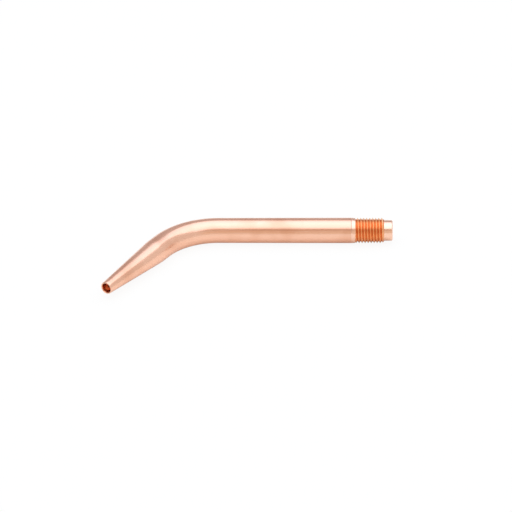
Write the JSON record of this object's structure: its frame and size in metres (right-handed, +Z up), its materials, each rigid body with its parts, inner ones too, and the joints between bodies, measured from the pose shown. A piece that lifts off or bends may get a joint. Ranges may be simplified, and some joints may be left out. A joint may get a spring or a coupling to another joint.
{
  "type": "gas welding tip",
  "caption": "Bent copper gas welding tip: a threaded inlet end with a short pilot, a straight shank, a bend, and a long taper to an open mouth.",
  "frame": {"origin": "on the thread's axis, where the thread ends against the shank", "axes": "+X along the thread's axis and out of the inlet end; the tip bends towards -Y in the XY plane; +Z up when it lies flat on a bench"},
  "size_m": [0.0905, 0.0394, 0.008],
  "materials": {
    "copper": "polished"
  },
  "bodies": {
    "root": {"welding_tip": "copper"}
  },
  "joints": []
}
